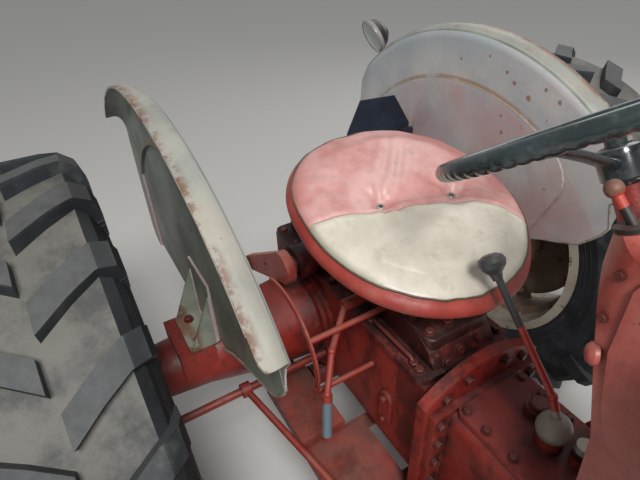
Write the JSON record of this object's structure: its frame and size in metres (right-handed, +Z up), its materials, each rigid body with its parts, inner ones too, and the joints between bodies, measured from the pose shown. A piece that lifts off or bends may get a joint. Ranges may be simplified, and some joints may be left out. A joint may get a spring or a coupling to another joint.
{
  "type": "small farm tractor",
  "caption": "Small farm tractor with clam-shell fenders, pan seat, rear lift linkage, long hood with bar grille, turning front wheels and rolling wheels.",
  "frame": {"origin": "middle of the bounding box, on the ground", "axes": "+X forward, +Y to the driver's left, +Z up"},
  "size_m": [2.994, 1.8, 1.5379],
  "materials": {
    "red_paint": "faded red enamel, dusty, worn to primer at edges",
    "grey_paint": "pale grey enamel with rust spots",
    "black_steel": "dull black paint",
    "bare_steel": "dull worn steel",
    "rusty_pipe": "rusted pipe",
    "rear_rubber": "weathered rubber, dusty",
    "rim_metal": "weathered pale rim paint with rust",
    "wheel_plastic": "worn gloss dark green black",
    "seat_vinyl": "faded red and beige vinyl",
    "sign_navy": "dark navy paint"
  },
  "bodies": {
    "tractor": {"rear_housing": "red_paint", "rear_cover": "red_paint", "lift_cover": "red_paint", "gearbox": "red_paint", "shift_cover": "red_paint", "engine_block": "red_paint", "cylinder_head": "red_paint", "oil_pan": "red_paint", "exhaust": "rusty_pipe", "intake": "black_steel", "generator": "black_steel", "fan": "black_steel", "radiator": "black_steel", "fuel_tank": "grey_paint", "grille": "grey_paint", "hood": "grey_paint", "headlamps": "black_steel", "dash": "red_paint", "steering_gear": "red_paint", "throttle_lever": "red_paint", "gear_lever": "red_paint", "starter_button": "grey_paint", "seat_bracket": "red_paint", "seat_pan": "red_paint", "seat_cushion": "seat_vinyl", "fender_left": "grey_paint", "fender_right": "grey_paint", "work_lamp": "black_steel", "sign_plate": "sign_navy", "footboards": "red_paint", "pedals": "red_paint", "quadrant": "red_paint", "drawbar": "bare_steel", "front_support": "red_paint", "front_axle": "red_paint"},
    "rear_wheel_left": {"rear_rim_left": "rim_metal", "rear_tyre_left": "rear_rubber"},
    "rear_wheel_right": {"rear_rim_right": "rim_metal", "rear_tyre_right": "rear_rubber"},
    "front_wheel_left": {"front_rim_left": "rim_metal", "front_tyre_left": "rear_rubber"},
    "front_wheel_right": {"front_rim_right": "rim_metal", "front_tyre_right": "rear_rubber"},
    "knuckle_left": {"knuckle_left": "red_paint"},
    "knuckle_right": {"knuckle_right": "red_paint"},
    "steering_wheel": {"steering_wheel": "wheel_plastic"},
    "pitman_left": {"pitman_left": "red_paint"},
    "pitman_right": {"pitman_right": "red_paint"},
    "drag_link_left": {"drag_link_left": "red_paint"},
    "drag_link_right": {"drag_link_right": "red_paint"},
    "hood_door": {"hood_door": "grey_paint"},
    "lift_arms": {"lift_arms": "red_paint"},
    "lift_rod_left": {"lift_rod_left": "bare_steel"},
    "lift_rod_right": {"lift_rod_right": "bare_steel"},
    "lower_link_left": {"lower_link_left": "bare_steel"},
    "lower_link_right": {"lower_link_right": "bare_steel"}
  },
  "joints": [
    {"name": "rear_wheel_left_spin", "type": "hinge", "parent": "tractor", "child": "rear_wheel_left", "pos_m": [-0.745, 0.745, 0.615], "axis": [0, 1, 0], "continuous": true},
    {"name": "steer_left", "type": "hinge", "parent": "tractor", "child": "knuckle_left", "pos_m": [1.147, 0.553, 0.35], "axis": [0, 0, 1], "range_deg": [-36, 36]},
    {"name": "front_wheel_left_spin", "type": "hinge", "parent": "knuckle_left", "child": "front_wheel_left", "pos_m": [1.147, 0.665, 0.35], "axis": [0, 1, 0], "continuous": true},
    {"name": "pitman_left_swing", "type": "hinge", "parent": "tractor", "child": "pitman_left", "pos_m": [0.207, 0.197, 0.905], "axis": [0, 1, 0], "range_deg": [-26.65, 26.65]},
    {"name": "drag_link_left_pivot", "type": "hinge", "parent": "pitman_left", "child": "drag_link_left", "pos_m": [0.207, 0.237, 0.715], "axis": [0, 1, 0], "range_deg": [-26.65, 26.65]},
    {"name": "lower_link_left_swing", "type": "hinge", "parent": "tractor", "child": "lower_link_left", "pos_m": [-0.67, 0.19, 0.4], "axis": [0, 1, 0], "range_deg": [0, 28.61]},
    {"name": "lift_rod_left_pivot", "type": "hinge", "parent": "lift_arms", "child": "lift_rod_left", "pos_m": [-0.96182, 0.203, 0.6875], "axis": [0, 1, 0], "range_deg": [-59.4, 0]},
    {"name": "rear_wheel_right_spin", "type": "hinge", "parent": "tractor", "child": "rear_wheel_right", "pos_m": [-0.745, -0.745, 0.615], "axis": [0, 1, 0], "continuous": true},
    {"name": "steer_right", "type": "hinge", "parent": "tractor", "child": "knuckle_right", "pos_m": [1.147, -0.553, 0.35], "axis": [0, 0, 1], "range_deg": [-36, 36]},
    {"name": "front_wheel_right_spin", "type": "hinge", "parent": "knuckle_right", "child": "front_wheel_right", "pos_m": [1.147, -0.665, 0.35], "axis": [0, 1, 0], "continuous": true},
    {"name": "pitman_right_swing", "type": "hinge", "parent": "tractor", "child": "pitman_right", "pos_m": [0.207, -0.197, 0.905], "axis": [0, 1, 0], "range_deg": [-26.65, 26.65]},
    {"name": "drag_link_right_pivot", "type": "hinge", "parent": "pitman_right", "child": "drag_link_right", "pos_m": [0.207, -0.237, 0.715], "axis": [0, 1, 0], "range_deg": [-26.65, 26.65]},
    {"name": "lower_link_right_swing", "type": "hinge", "parent": "tractor", "child": "lower_link_right", "pos_m": [-0.67, -0.19, 0.4], "axis": [0, 1, 0], "range_deg": [0, 28.61]},
    {"name": "lift_rod_right_pivot", "type": "hinge", "parent": "lift_arms", "child": "lift_rod_right", "pos_m": [-0.96182, -0.203, 0.6875], "axis": [0, 1, 0], "range_deg": [-59.4, 0]},
    {"name": "steering_wheel_turn", "type": "hinge", "parent": "tractor", "child": "steering_wheel", "pos_m": [-0.102, 0, 1.4], "axis": [-0.5664, 0, 0.8241], "range_deg": [-432, 432]},
    {"name": "lift_arms_raise", "type": "hinge", "parent": "tractor", "child": "lift_arms", "pos_m": [-0.715, 0, 0.83], "axis": [0, 1, 0], "range_deg": [0, 45]},
    {"name": "hood_door_lid", "type": "hinge", "parent": "tractor", "child": "hood_door", "pos_m": [0.415, 0, 1.344], "axis": [0, 1, 0], "range_deg": [0, 100]}
  ],
  "couplings": [
    {"joint": "pitman_left_swing", "follows": "steer_left", "ratio": -0.74034},
    {"joint": "drag_link_left_pivot", "follows": "steer_left", "ratio": 0.74034},
    {"joint": "lower_link_left_swing", "follows": "lift_arms_raise", "ratio": 0.6357},
    {"joint": "lift_rod_left_pivot", "follows": "lift_arms_raise", "ratio": -1.3199},
    {"joint": "pitman_right_swing", "follows": "steer_left", "ratio": 0.74034},
    {"joint": "drag_link_right_pivot", "follows": "steer_left", "ratio": -0.74034},
    {"joint": "lower_link_right_swing", "follows": "lift_arms_raise", "ratio": 0.6357},
    {"joint": "lift_rod_right_pivot", "follows": "lift_arms_raise", "ratio": -1.3199},
    {"joint": "steer_right", "follows": "steer_left", "ratio": 1},
    {"joint": "steering_wheel_turn", "follows": "steer_left", "ratio": 12}
  ]
}
